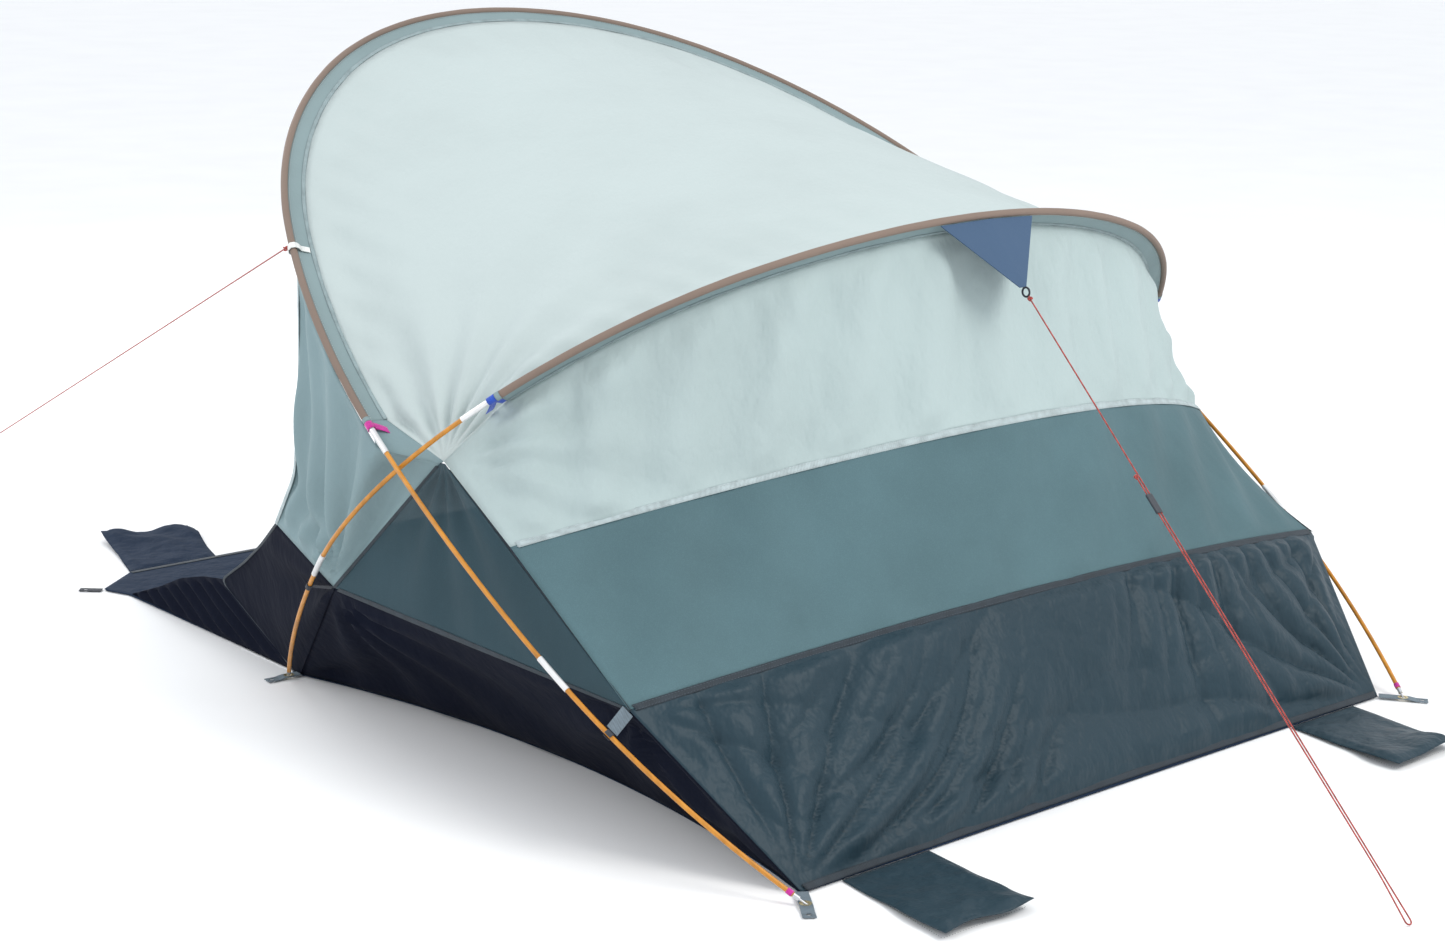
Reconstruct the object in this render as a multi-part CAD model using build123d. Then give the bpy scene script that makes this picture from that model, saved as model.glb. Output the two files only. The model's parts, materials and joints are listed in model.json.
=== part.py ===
"""Beach shelter with two crossed arch poles, pitched and pegged out.

Millimetres. +Z is up, +Y is the closed back and -Y the open front; left and right are as seen by
someone who stands in front of the opening. The origin is on the ground under the middle of the
shelter's outline, guy lines not counted.
"""
from build123d import *
import os
from math import cos, pi, radians, sin

# Driving dimensions -------------------------------------------------------------------------------
FOOT_Y = 795                      # pole feet, in front of and behind the middle of the footprint
FRONT_SECTIONS, REAR_SECTIONS = 10, 8
FRONT_HALF_SPAN, REAR_HALF_SPAN = 872, 890
FRONT_TILT, REAR_TILT = -57, 47   # degrees from upright; the front pole leans out over the opening
FRONT_TURN = (3.48, -3.34, 1.87)  # bend of the pole from its top to its foot, see Arch
REAR_TURN = (1.40, 3.17, -2.58)

POLE_D, POLE_BORE, SHOCK_CORD_D = 9.0, 5.0, 3.0
FERRULE_D, FERRULE_BORE, FERRULE_LENGTH = 11.5, 9.4, 80
TIP_LENGTH, CAP_LENGTH, PLUG_LENGTH = 34, 12, 10
PIN_D, PIN_START = 4.0, 4
SLEEVE_D, SLEEVE_BORE = 17.0, 13.4
FLANGE = 42                       # pole axis to the seam that joins the sleeve to the roof
FRONT_SLEEVE_START = 1268         # along the pole from its foot, above the second ferrule
REAR_SLEEVE_START = 1165

FABRIC = 2.0                      # thickness of every sheet of cloth
SEAM_GAP = 1.5                    # from a panel's edge to the line of its seam
CORD_D = 3.0

FRONT_CORNER = Vector(866, -788, 3)      # cloth corner beside the rear pole's foot
BACK_CORNER = Vector(845, 745, 3)        # cloth corner beside the front pole's foot
CROSSING_CORNER = Vector(990, -88, 620)  # top of the side window, under the crossed poles
FRONT_TIE = Vector(1030, -400, 312)      # side seam tied to the rear pole's front leg
REAR_TIE = Vector(985, 448, 280)         # side seam tied to the front pole's rear leg
WALL_SEAM = Vector(990, 115, 500)        # end of the upper seam of the back wall
WALL_SEAM_RISE = Vector(0, 310, 160)     # how far that seam bows back and up in the middle
REAR_TIE_RISE = Vector(0, 100, 72)
BACK_HEM_RISE = Vector(0, -8, 0)
SIDE_BOW = 110                    # how far the floor's side edge is pulled in between the feet
WINDOW_TIP = [Vector(992, -95, 611), Vector(990, -85, 611)]    # blunt top of the side window

WING_START, WING_TOP = 1208, 1690    # along the front pole: the wing's top edge
WING_CLEARANCE = 2.5              # from the wing's top edge to the sleeve
WING_SEAM = [Vector(990, -96, 616), Vector(991, -98, 608)]     # beside the tip of the side window
WING_HEM_START = Vector(1032, -408, 312)
WING_EDGE = [Vector(958, -625, 700), Vector(977, -618, 490)]
WING_CORNER = Vector(978, -690, 372)
WING_LOWER_TOP = [Vector(1030, -402, 309), Vector(978, -690, 369)]
WING_LOWER_EDGE = [Vector(945, -800, 300), Vector(910, -930, 225), Vector(874, -1090, 143)]
WING_LOWER_FOOT = [Vector(866, -810, 3), Vector(866, -792, 3)]
SIDE_CREST = [Vector(870, -1174, 132), Vector(866, -1283, 102), Vector(859, -1380, 60), Vector(852, -1528, 6)]
SIDE_GROUND = [Vector(858, -826, 3), Vector(851, -1534, 3)]

APRON_HINGE_Y = -816
APRON_EDGE_X, APRON_CORNER_Y, APRON_FRONT_Y = 844, -1540, -1706
APRON_LOOP = Vector(884, -1612, 0)
APRON_FRONT_X = 760

APRON_GAP = 2                     # from the hinge line to the edge of the floor and of the apron

FLAP_THICKNESS, FLAP_GAP = 5, 8   # each sand flap is an empty pocket of two layers
FLAP_CORNER = 6
FRONT_FLAP = dict(inner=521, width=238, length=298, skew=-95)
REAR_FLAP = dict(inner=535, width=216, length=285, skew=52)

WEBBING = 1.6                     # thickness of tapes, tabs and straps
PEG_HOLE_D = 11
TAB_WIDTH, TAB_REACH, TAB_Z = 24, 52, 4.4
EYELET_D, EYELET_BORE, EYELET_BARREL = 22, 13, 14.6
EYELET_LOW, EYELET_HIGH = 0.9, 1.3    # inner and outer face of its two rims, from the tab's middle
APRON_TAB_WIDTH, APRON_TAB_HOLE_AT, APRON_TAB_TURN = 22, 38, radians(-42)
REAR_TIE_AT, REAR_TIE_WIDTH = 458, 26     # on the front pole, from its foot
TIE_HOOK_D, TIE_HOOK_LENGTH, TIE_HOOK_MOUTH = 15, 14, 6
FRONT_TIE_AT, FRONT_TIE_WIDTH = 468, 10   # on the rear pole, from its foot
WRAP_D, WRAP_LENGTH = 13.5, 16
TAPE_WIDTH, TAPE_BEFORE_SLEEVE = 7, 14
FOOT_BAND_D, FOOT_BAND_LENGTH = 11.6, 11

GUSSET_HALF_WIDTH, GUSSET_TIP, GUSSET_TIP_HALF_WIDTH = 130, Vector(0, 434, 923), 9
LOOP_RADIUS, LOOP_CORD_RADIUS = 9, 2
GUY_LOOP_AT, GUY_LOOP_WIDTH = 1766, 15    # white tape over the flange of the front sleeve
GUY_LOOP_FOLD = [(34, 2.2), (16, 3.4), (8, 9.2), (0, 11), (-7.8, 7.8), (-11, 0)]

# Rear guy line: ring, peg, round the peg, beside the first leg, tail above the runner
REAR_GUY = [(2.4, 452.7, 906.6), (134, 1487, 1.8), (147.9, 1485.2, 1.8), (131.4, 1415, 64.1),
            (49.8, 774, 624.8)]
REAR_GUY_RADII = [6.5, 6.5, 60]
# Front guy line: white loop, peg, round the peg, end at its knot
FRONT_GUY = [(962, -657, 942.9), (900, -2700, 1.8), (886, -2699.6, 1.8), (887, -2600, 48)]
FRONT_GUY_RADII = [6.5, 6.5]
LEG_GAP = 6.5                     # between the two legs at the runner
RUNNER_AT = 0.36                  # share of the rear guy line above the runner
RUNNER_LENGTH, RUNNER_WIDTH, RUNNER_THICKNESS = 42, 15, 6
RUNNER_BORE = 4.4

COLUMNS = 20                      # facets across the roof and the back wall


class Arch:
    """A pole bent between its two feet: equal tangent arcs in one plane, tilted about the feet.

    turn gives the angle of the pole to the horizontal at t, where t runs from -1 at the right foot
    over 0 at the top to 1 at the left foot: turn[0] t + turn[1] t^3 + turn[2] t^5.
    """

    def __init__(self, half_span, foot_y, tilt, sections, turn):
        self.foot_y, self.tilt, self.sections = foot_y, radians(tilt), sections
        stations = [2 * i / sections - 1 for i in range(sections + 1)]
        self.angles = [turn[0] * t + turn[1] * t**3 + turn[2] * t**5 for t in stations]
        self.section = 1.0
        self.joints = [(0.0, 0.0)]
        for i in range(sections):
            self.joints.append(self.along(i, 1.0))
        self.section = 2 * half_span / abs(self.joints[-1][0])
        self.joints = [(half_span + x * self.section, h * self.section) for x, h in self.joints]
        self.length = sections * self.section

    def along(self, i, s):
        """Sideways place and height in the pole's plane, s along section i."""
        x, h = self.joints[i]
        bend = (self.angles[i + 1] - self.angles[i]) / self.section
        a, b = self.angles[i], self.angles[i] + bend * s
        return x - (sin(b) - sin(a)) / bend, h + (cos(b) - cos(a)) / bend

    def locate(self, s):
        i = min(int(s / self.section), self.sections - 1)
        return i, s - i * self.section

    def place(self, x, h):
        return Vector(x, self.foot_y + h * sin(self.tilt), h * cos(self.tilt))

    def direction(self, x, h):
        return Vector(x, h * sin(self.tilt), h * cos(self.tilt))

    def angle(self, s):
        i, rest = self.locate(s)
        return self.angles[i] + (self.angles[i + 1] - self.angles[i]) * rest / self.section

    def point(self, s):
        return self.place(*self.along(*self.locate(s)))

    def tangent(self, s):
        return self.direction(-cos(self.angle(s)), -sin(self.angle(s)))

    def inward(self, s):
        return self.direction(sin(self.angle(s)), -cos(self.angle(s)))

    def seam(self, s, distance=FLANGE):
        return self.point(s) + self.inward(s) * distance

    def plane(self, s):
        return Plane(origin=self.point(s), x_dir=self.inward(s), z_dir=self.tangent(s))

    def path(self, start, end):
        """Tangent arcs from start to end, one for each section that they touch."""
        cuts = [start]
        cuts += [i * self.section for i in range(self.sections) if start < i * self.section < end]
        cuts.append(end)
        arcs = []
        for a, b in zip(cuts, cuts[1:]):
            middle = self.point((a + b) / 2)
            arcs.append(Edge.make_three_point_arc(self.point(a), middle, self.point(b)))
        return Wire(arcs)

    def tube(self, start, end, outer, bore=0.0):
        section = Circle(outer / 2)
        if bore:
            section -= Circle(bore / 2)
        return sweep(self.plane(start) * section, path=self.path(start, end))


FRONT = Arch(FRONT_HALF_SPAN, FOOT_Y, FRONT_TILT, FRONT_SECTIONS, FRONT_TURN)
REAR = Arch(REAR_HALF_SPAN, -FOOT_Y, REAR_TILT, REAR_SECTIONS, REAR_TURN)
OUTLINE_FRONT = APRON_FRONT_Y - FLAP_GAP - FRONT_FLAP["length"]
OUTLINE_BACK = BACK_CORNER.Y + FLAP_GAP + REAR_FLAP["length"]
TO_ORIGIN = Location((0, -(OUTLINE_FRONT + OUTLINE_BACK) / 2, 0))


# Helpers ------------------------------------------------------------------------------------------
def save(name, *shapes):
    solids = [solid for shape in shapes for solid in shape.solids()]
    moved = [solid.moved(TO_ORIGIN) for solid in solids]
    export_step(moved[0] if len(moved) == 1 else Compound(moved), f"parts/{name}.step")


def mirrored(point):
    return Vector(-point.X, point.Y, point.Z)


def both_sides(name, build):
    """Write the same piece for the right side and, mirrored, for the left side."""
    shape = build()
    save(f"{name}_right", shape)
    save(f"{name}_left", mirror(shape, about=Plane.YZ))


def pair(*shapes):
    return [*shapes, *[mirror(shape, about=Plane.YZ) for shape in shapes]]


def between(a, b, share):
    return a + (b - a) * share


def moved_towards(p, q, distance):
    reach = (q - p).length
    return between(p, q, min(distance / reach, 0.45)) if reach > 0 else p


def inset(rows, gap):
    """Pull the grid's outer points in from the seams by the gap."""
    rows = [list(row) for row in rows]
    for row in rows:
        row[0], row[-1] = moved_towards(row[0], row[1], gap), moved_towards(row[-1], row[-2], gap)
    first = [moved_towards(p, q, gap) for p, q in zip(rows[0], rows[1])]
    last = [moved_towards(p, q, gap) for p, q in zip(rows[-1], rows[-2])]
    return [first, *rows[1:-1], last]


def triangle(a, b, c):
    return Face(Wire.make_polygon([a, b, c]))


def sheet(rows, thickness=FABRIC, gap=SEAM_GAP):
    """A closed solid of even thickness on a grid of points."""
    rows = inset(rows, gap) if gap else rows
    m, n = len(rows), len(rows[0])

    def normal(i, j):
        down = rows[min(i + 1, m - 1)][j] - rows[max(i - 1, 0)][j]
        across = rows[i][min(j + 1, n - 1)] - rows[i][max(j - 1, 0)]
        return across.cross(down).normalized() * (thickness / 2)

    front = [[rows[i][j] + normal(i, j) for j in range(n)] for i in range(m)]
    back = [[rows[i][j] - normal(i, j) for j in range(n)] for i in range(m)]
    faces = []
    for i in range(m - 1):
        for j in range(n - 1):
            for g in (front, back):
                faces.append(triangle(g[i][j], g[i][j + 1], g[i + 1][j + 1]))
                faces.append(triangle(g[i][j], g[i + 1][j + 1], g[i + 1][j]))
    rim = [(0, j) for j in range(n)] + [(i, n - 1) for i in range(1, m)]
    rim += [(m - 1, j) for j in range(n - 2, -1, -1)] + [(i, 0) for i in range(m - 2, 0, -1)]
    for (i, j), (k, l) in zip(rim, rim[1:] + rim[:1]):
        faces.append(triangle(front[i][j], front[k][l], back[k][l]))
        faces.append(triangle(front[i][j], back[k][l], back[i][j]))
    return Solid(Shell(faces))


def ruled(first, last, steps):
    """Grid rows between two lines that have the same number of points."""
    return [[between(p, q, i / steps) for p, q in zip(first, last)] for i in range(steps + 1)]


def resampled(line, count):
    """count points, evenly spaced along the line."""
    lengths = [0.0]
    for p, q in zip(line, line[1:]):
        lengths.append(lengths[-1] + (q - p).length)
    points = []
    for k in range(count):
        s = lengths[-1] * k / (count - 1)
        i = max(j for j in range(len(line) - 1) if lengths[j] <= s + 1e-9)
        points.append(between(line[i], line[i + 1], (s - lengths[i]) / (lengths[i + 1] - lengths[i])))
    return points


def strap(points, across, width, thickness=FABRIC):
    """A flat strip along the points; across points over its width."""
    half = across.normalized() * (width / 2)
    return sheet([[p - half for p in points], [p + half for p in points]], thickness, gap=0)


def bowed(end, rise, others):
    """A seam from end to its mirror image, with a point under each of the others."""
    return [Vector(end.X * t, end.Y, end.Z) + rise * (1 - t * t)
            for t in (other.X / others[0].X for other in others)]


# Seam lines of the cloth, from the right side to the left ------------------------------------------
def seam_over(arch, start):
    """From one crossing corner along the pole's flange to the other corner."""
    stop = arch.length - start
    run = [arch.seam(start + (stop - start) * k / (COLUMNS - 2)) for k in range(COLUMNS - 1)]
    return [CROSSING_CORNER, *run, mirrored(CROSSING_CORNER)]


FRONT_SEAM = seam_over(FRONT, FRONT_SLEEVE_START)
REAR_SEAM = seam_over(REAR, REAR_SLEEVE_START)
UPPER_WALL_SEAM = bowed(WALL_SEAM, WALL_SEAM_RISE, REAR_SEAM)
LOWER_WALL_SEAM = bowed(REAR_TIE, REAR_TIE_RISE, REAR_SEAM)
BACK_HEM = bowed(BACK_CORNER, BACK_HEM_RISE, REAR_SEAM)


# Poles --------------------------------------------------------------------------------------------
def pole_sections(name, arch):
    for i in range(arch.sections):
        start = max(i * arch.section, TIP_LENGTH)
        end = min((i + 1) * arch.section, arch.length - TIP_LENGTH)
        save(f"{name}_section_{i + 1}", arch.tube(start, end, POLE_D, POLE_BORE))


def ferrules(arch):
    half = FERRULE_LENGTH / 2
    joints = [i * arch.section for i in range(1, arch.sections)]
    return [arch.tube(s - half, s + half, FERRULE_D, FERRULE_BORE) for s in joints]


def shock_cord(arch):
    end = TIP_LENGTH + PLUG_LENGTH + 2
    return arch.tube(end, arch.length - end, SHOCK_CORD_D)


def pole_tip(arch):
    """A turned end cap on the pole with a pin that stands in the corner's eyelet."""
    cap_start = TIP_LENGTH - CAP_LENGTH
    cap = arch.tube(cap_start, TIP_LENGTH, POLE_D)
    plug = arch.tube(TIP_LENGTH, TIP_LENGTH + PLUG_LENGTH, POLE_BORE)
    pin = arch.tube(PIN_START, cap_start, PIN_D)
    return cap + plug + pin


def sleeve(arch, start):
    """Cloth tube round the pole with a standing flange down to the roof seam."""
    fin = FLANGE - SEAM_GAP
    profile = Circle(SLEEVE_D / 2) + Pos(fin / 2, 0) * Rectangle(fin, FABRIC) - Circle(SLEEVE_BORE / 2)
    return sweep(arch.plane(start) * profile, path=arch.path(start, arch.length - start))


# Cloth body ---------------------------------------------------------------------------------------
def roof():
    return sheet(ruled(FRONT_SEAM, REAR_SEAM, 6))


def back_wall():
    save("back_wall_upper", sheet(ruled(REAR_SEAM, UPPER_WALL_SEAM, 2)))
    save("back_window", sheet(ruled(UPPER_WALL_SEAM, LOWER_WALL_SEAM, 2)))
    save("back_wall_lower", sheet(ruled(LOWER_WALL_SEAM, BACK_HEM, 2)))


def side_window():
    """Three-cornered mesh panel under the crossed poles."""
    return sheet(ruled(WINDOW_TIP, [FRONT_TIE, REAR_TIE], 3))


def side_hem(count):
    """The side wall's ground line, pulled in between the corners."""
    shares = [k / (count - 1) for k in range(count)]
    return [between(FRONT_CORNER, BACK_CORNER, t) - Vector(4 * SIDE_BOW * t * (1 - t), 0, 0)
            for t in shares]


def side_lower():
    return sheet(ruled(resampled([FRONT_TIE, REAR_TIE], 9), side_hem(9), 3), gap=2 * SEAM_GAP)


def wing_free_edge():
    under_sleeve = FRONT.point(WING_TOP) + wing_drop()
    return [under_sleeve, *WING_EDGE, WING_CORNER]


def wing_drop():
    """From the pole's axis to the wing's top edge, at right angles to the pole's plane."""
    return Vector(0, -cos(FRONT.tilt), sin(FRONT.tilt)) * (SLEEVE_D / 2 + WING_CLEARANCE)


def wing_upper():
    """Side panel between the front pole and its free front edge."""
    run = [WING_START + (WING_TOP - WING_START) * k / 5 for k in range(6)]
    top = [WING_SEAM[0], *[FRONT.point(s) + wing_drop() for s in run]]
    edge = resampled(wing_free_edge(), 5)
    seam = resampled([WING_SEAM[1], FRONT_TIE], 5)
    hem = resampled([WING_HEM_START, WING_CORNER], len(top))
    return sheet(patch(top, hem, seam, edge))


def patch(top, bottom, left, right):
    """Grid that follows four border lines: left and right run from top to bottom."""
    m, n = len(left) - 1, len(top) - 1
    rows = []
    for i in range(m + 1):
        v = i / m
        row = []
        for j in range(n + 1):
            u = j / n
            flat = between(between(top[0], top[n], u), between(bottom[0], bottom[n], u), v)
            row.append(between(top[j], bottom[j], v) + between(left[i], right[i], u) - flat)
        rows.append(row)
    return rows


def wing_lower():
    """Dark panel from the wing's hem down to the floor's front corner."""
    top = resampled(WING_LOWER_TOP, 5)
    rear = resampled([FRONT_TIE, WING_LOWER_FOOT[1]], 5)
    front = resampled([top[-1], *WING_LOWER_EDGE, WING_LOWER_FOOT[0]], 5)
    bottom = resampled([rear[-1], front[-1]], 5)
    return sheet(patch(top, bottom, rear, front))


def apron_side():
    """Low side wall that joins the apron's edge to the wing."""
    crest = resampled([WING_LOWER_EDGE[-1], *SIDE_CREST], 7)
    return sheet(ruled(crest, resampled(SIDE_GROUND, 7), 2), gap=1)


def floor():
    front_corner, back_corner = (FRONT_CORNER.X, FRONT_CORNER.Y), (BACK_CORNER.X, BACK_CORNER.Y)
    middle = ((FRONT_CORNER.X + BACK_CORNER.X) / 2 - SIDE_BOW, (FRONT_CORNER.Y + BACK_CORNER.Y) / 2)
    right = ThreePointArc(front_corner, middle, back_corner)
    left = mirror(right, about=Plane.YZ)
    front_y = APRON_HINGE_Y + APRON_GAP
    front = Polyline(front_corner, (APRON_EDGE_X, front_y), (-APRON_EDGE_X, front_y),
                     (-FRONT_CORNER.X, FRONT_CORNER.Y))
    back = Line(back_corner, (-BACK_CORNER.X, BACK_CORNER.Y))
    return extrude(make_face([right, front, left, back]), FABRIC)


def apron():
    """The floor's extension in front of the opening."""
    half = [(APRON_EDGE_X, APRON_HINGE_Y - APRON_GAP), (APRON_EDGE_X, APRON_CORNER_Y),
            (APRON_LOOP.X, APRON_LOOP.Y), (APRON_FRONT_X, APRON_FRONT_Y)]
    outline = half + [(-x, y) for x, y in reversed(half)]
    return extrude(make_face(Polyline(*outline, close=True)), FABRIC)


# Flaps and tabs on the ground ---------------------------------------------------------------------
def sand_flap(inner, width, length, skew, edge_y, outwards):
    """Empty sand pocket that lies flat; outwards is -1 at the front and 1 at the back."""
    near = edge_y + outwards * FLAP_GAP
    far = near + outwards * length
    corners = [(inner, near), (inner + width, near), (inner + width + skew, far), (inner + skew, far)]
    pocket = extrude(make_face(Polyline(*corners, close=True)), FLAP_THICKNESS)
    return fillet(pocket.edges().filter_by(Axis.Z), FLAP_CORNER)


def sand_flaps():
    front = sand_flap(**FRONT_FLAP, edge_y=APRON_FRONT_Y, outwards=-1)
    rear = sand_flap(**REAR_FLAP, edge_y=BACK_CORNER.Y, outwards=1)
    save("front_sand_flap_right", front)
    save("front_sand_flap_left", mirror(front, about=Plane.YZ))
    save("rear_sand_flap_right", rear)
    far_side = dict(REAR_FLAP, inner=-REAR_FLAP["inner"] - REAR_FLAP["width"])
    save("rear_sand_flap_left", sand_flap(**far_side, edge_y=BACK_CORNER.Y, outwards=1))


def pin_at_tab(arch):
    """Where the middle of the pole's pin goes through the corner tab."""
    foot = arch.point(0)
    return foot + arch.tangent(0) * ((TAB_Z - foot.Z) / arch.tangent(0).Z)


def upright_hole(x, y, diameter):
    return Pos(x, y, 0) * Cylinder(diameter / 2, 60)


def corner_tab(arch, corner):
    """Webbing from the cloth corner over the pin to a peg loop on the ground."""
    ring = pin_at_tab(arch)
    outward = ring - corner
    flat = Vector(outward.X, outward.Y, 0).normalized()
    across = Vector(-flat.Y, flat.X, 0)
    start = Vector(corner.X, corner.Y, TAB_Z) + flat * 3
    end = Vector(ring.X, ring.Y, WEBBING) + flat * TAB_REACH
    line = [start, ring + flat * (TAB_WIDTH / 2), end - flat * TAB_WIDTH, end]
    web = strap(line, across, TAB_WIDTH, WEBBING)
    peg = end - flat * (TAB_WIDTH / 2)
    return web - upright_hole(ring.X, ring.Y, EYELET_BARREL + 0.4) - upright_hole(peg.X, peg.Y, PEG_HOLE_D)


def eyelet(arch):
    """Brass eyelet in the corner tab, wide enough for the slanting pin."""
    ring = pin_at_tab(arch)
    rim = Cylinder(EYELET_D / 2, EYELET_HIGH - EYELET_LOW)
    middle = (EYELET_LOW + EYELET_HIGH) / 2
    barrel = Cylinder(EYELET_BARREL / 2, 2 * EYELET_HIGH)
    body = barrel + Pos(0, 0, middle) * rim + Pos(0, 0, -middle) * rim
    return Pos(ring.X, ring.Y, ring.Z) * (body - Cylinder(EYELET_BORE / 2, 20))


def apron_peg_loop():
    """Webbing tab on the apron's front corner with a hole for a peg."""
    away = Vector(cos(APRON_TAB_TURN), sin(APRON_TAB_TURN), 0)
    base = APRON_LOOP + away * 3 + Vector(0, 0, 1)
    across = Vector(-away.Y, away.X, 0)
    web = strap([base, base + away * TAB_REACH], across, APRON_TAB_WIDTH, WEBBING)
    peg = base + away * APRON_TAB_HOLE_AT
    return web - upright_hole(peg.X, peg.Y, PEG_HOLE_D)


# Ties, tapes and loops ----------------------------------------------------------------------------
def ring_on(arch, s, bore, outer, width):
    return arch.plane(s) * (Cylinder(outer / 2, width) - Cylinder(bore / 2, width + 2))


def rear_tie():
    """Grey webbing square between the side seam and the hook on the front pole."""
    pole = FRONT.point(REAR_TIE_AT)
    towards = (pole - REAR_TIE).normalized()
    start, end = REAR_TIE + towards * 3, pole - towards * (TIE_HOOK_D / 2 + 1)
    return strap([start, end], FRONT.tangent(REAR_TIE_AT), REAR_TIE_WIDTH)


def tie_hook():
    """Open plastic clip snapped on the pole."""
    bore = POLE_D / 2 + 0.2
    clip = Cylinder(TIE_HOOK_D / 2, TIE_HOOK_LENGTH) - Cylinder(bore, 2 * TIE_HOOK_LENGTH)
    mouth = Pos(-TIE_HOOK_D / 2, 0, 0) * Box(TIE_HOOK_D - 4, TIE_HOOK_MOUTH, 2 * TIE_HOOK_LENGTH)
    return FRONT.plane(REAR_TIE_AT) * (clip - mouth)


def front_tie():
    """Dark strap from the side seam, wrapped round the rear pole's front leg."""
    pole = REAR.point(FRONT_TIE_AT)
    towards = (pole - FRONT_TIE).normalized()
    start, end = FRONT_TIE + towards * 7, pole - towards * (WRAP_D / 2 + 1.8)
    wrap = ring_on(REAR, FRONT_TIE_AT, POLE_D + 0.4, WRAP_D, WRAP_LENGTH)
    return [wrap, strap([start, end], REAR.tangent(FRONT_TIE_AT), FRONT_TIE_WIDTH)]


def sleeve_tape(arch, sleeve_start, spread):
    """Tape round the pole at the sleeve's end, with its two tails sewn to the roof seam."""
    s = sleeve_start - TAPE_BEFORE_SLEEVE
    bore = FERRULE_D + 0.4
    pieces = [ring_on(arch, s, bore, bore + 3, TAPE_WIDTH + 2)]
    pole = arch.point(s)
    for offset in spread:
        seam = arch.seam(s + offset)
        towards = (seam - pole).normalized()
        start, end = pole + towards * (bore / 2 + 3), seam - towards * 4
        pieces.append(strap([start, end], arch.tangent(s), TAPE_WIDTH, WEBBING))
    return pieces


def guy_loop():
    """White tape folded over the sleeve and sewn to both faces of its flange."""
    fold = GUY_LOOP_FOLD + [(x, -y) for x, y in reversed(GUY_LOOP_FOLD[:-1])]
    plane = FRONT.plane(GUY_LOOP_AT)
    return strap([plane.from_local_coords(Vector(x, y, 0)) for x, y in fold],
                 FRONT.tangent(GUY_LOOP_AT), GUY_LOOP_WIDTH, WEBBING)


def rear_gusset():
    """Three-cornered anchor cloth from the rear sleeve down to the guy line."""
    centre = REAR.length / 2
    away = Vector(0, cos(REAR.tilt), -sin(REAR.tilt)) * (SLEEVE_D / 2 + 1.5)
    top = [REAR.point(centre + k * GUSSET_HALF_WIDTH) + away for k in (-1, 0, 1)]
    tip = [GUSSET_TIP + Vector(k * GUSSET_TIP_HALF_WIDTH, 0, 0) for k in (1, 0, -1)]
    return sheet(ruled(top, tip, 3), gap=0)


def rear_guy_loop():
    """Webbing ring at the gusset's tip."""
    down = guy_direction()
    middle = GUSSET_TIP + down * (LOOP_RADIUS + LOOP_CORD_RADIUS + 1.5)
    return Plane(origin=middle, x_dir=down, z_dir=Vector(1, 0, 0)) * Torus(LOOP_RADIUS, LOOP_CORD_RADIUS)


def guy_direction():
    return (Vector(*REAR_GUY[1]) - Vector(*REAR_GUY[0])).normalized()


# Guy lines ----------------------------------------------------------------------------------------
def cord(points, radii):
    """Round cord along straight runs joined by tangent arcs."""
    path = FilletPolyline(*points, radius=radii)
    section = Plane(origin=path @ 0, z_dir=path % 0) * Circle(CORD_D / 2)
    solid = sweep(section, path=path)
    ratio = solid.volume / (pi * CORD_D**2 / 4 * path.length)
    print(f"cord {path.length:.0f} mm, radii {radii} mm, volume over section times length {ratio:.4f}")
    return solid


def guy_runner():
    """Flat bar with two holes that grips the two legs of the rear guy line."""
    down = guy_direction()
    side = Vector(down.Y, -down.X, 0).normalized()
    first_leg = between(Vector(*REAR_GUY[0]), Vector(*REAR_GUY[1]), RUNNER_AT)
    bar = Box(RUNNER_WIDTH, RUNNER_THICKNESS, RUNNER_LENGTH)
    bar = fillet(bar.edges().filter_by(Axis.Z), RUNNER_THICKNESS * 0.4)
    for x in (-LEG_GAP / 2, LEG_GAP / 2):
        bar -= Pos(x, 0, 0) * Cylinder(RUNNER_BORE / 2, 2 * RUNNER_LENGTH)
    return Plane(origin=first_leg + side * (LEG_GAP / 2), x_dir=side, z_dir=down) * bar


# Write every piece --------------------------------------------------------------------------------
os.makedirs("parts", exist_ok=True)

pole_sections("front_pole", FRONT)
pole_sections("rear_pole", REAR)
save("front_pole_ferrules", *ferrules(FRONT))
save("rear_pole_ferrules", *ferrules(REAR))
save("shock_cords", shock_cord(FRONT), shock_cord(REAR))
save("pole_tips", *pair(pole_tip(FRONT), pole_tip(REAR)))
save("foot_bands", *pair(ring_on(FRONT, TIP_LENGTH + 8, POLE_D + 0.2, FOOT_BAND_D, FOOT_BAND_LENGTH)))

save("front_sleeve", sleeve(FRONT, FRONT_SLEEVE_START))
save("rear_sleeve", sleeve(REAR, REAR_SLEEVE_START))
save("roof", roof())
back_wall()
both_sides("side_window", side_window)
both_sides("side_lower", side_lower)
both_sides("wing_upper", wing_upper)
both_sides("wing_lower", wing_lower)
both_sides("apron_side", apron_side)
save("floor", floor())
save("apron", apron())
sand_flaps()

save("corner_tabs", *pair(corner_tab(FRONT, BACK_CORNER), corner_tab(REAR, FRONT_CORNER)))
save("corner_eyelets", *pair(eyelet(FRONT), eyelet(REAR)))
save("apron_peg_loops", *pair(apron_peg_loop()))
save("rear_tie_straps", *pair(rear_tie()))
save("rear_tie_hooks", *pair(tie_hook()))
save("front_tie_straps", *pair(*front_tie()))
save("front_sleeve_tapes", *pair(*sleeve_tape(FRONT, FRONT_SLEEVE_START, (-24, 2))))
save("rear_sleeve_tapes", *pair(*sleeve_tape(REAR, REAR_SLEEVE_START, (-24, 4))))
save("front_guy_loops", *pair(guy_loop()))
save("rear_gusset", rear_gusset())
save("rear_guy_loop", rear_guy_loop())
save("rear_guy_line", cord(REAR_GUY, REAR_GUY_RADII))
save("front_guy_line", cord(FRONT_GUY, FRONT_GUY_RADII))
save("guy_runner", guy_runner())
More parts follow.
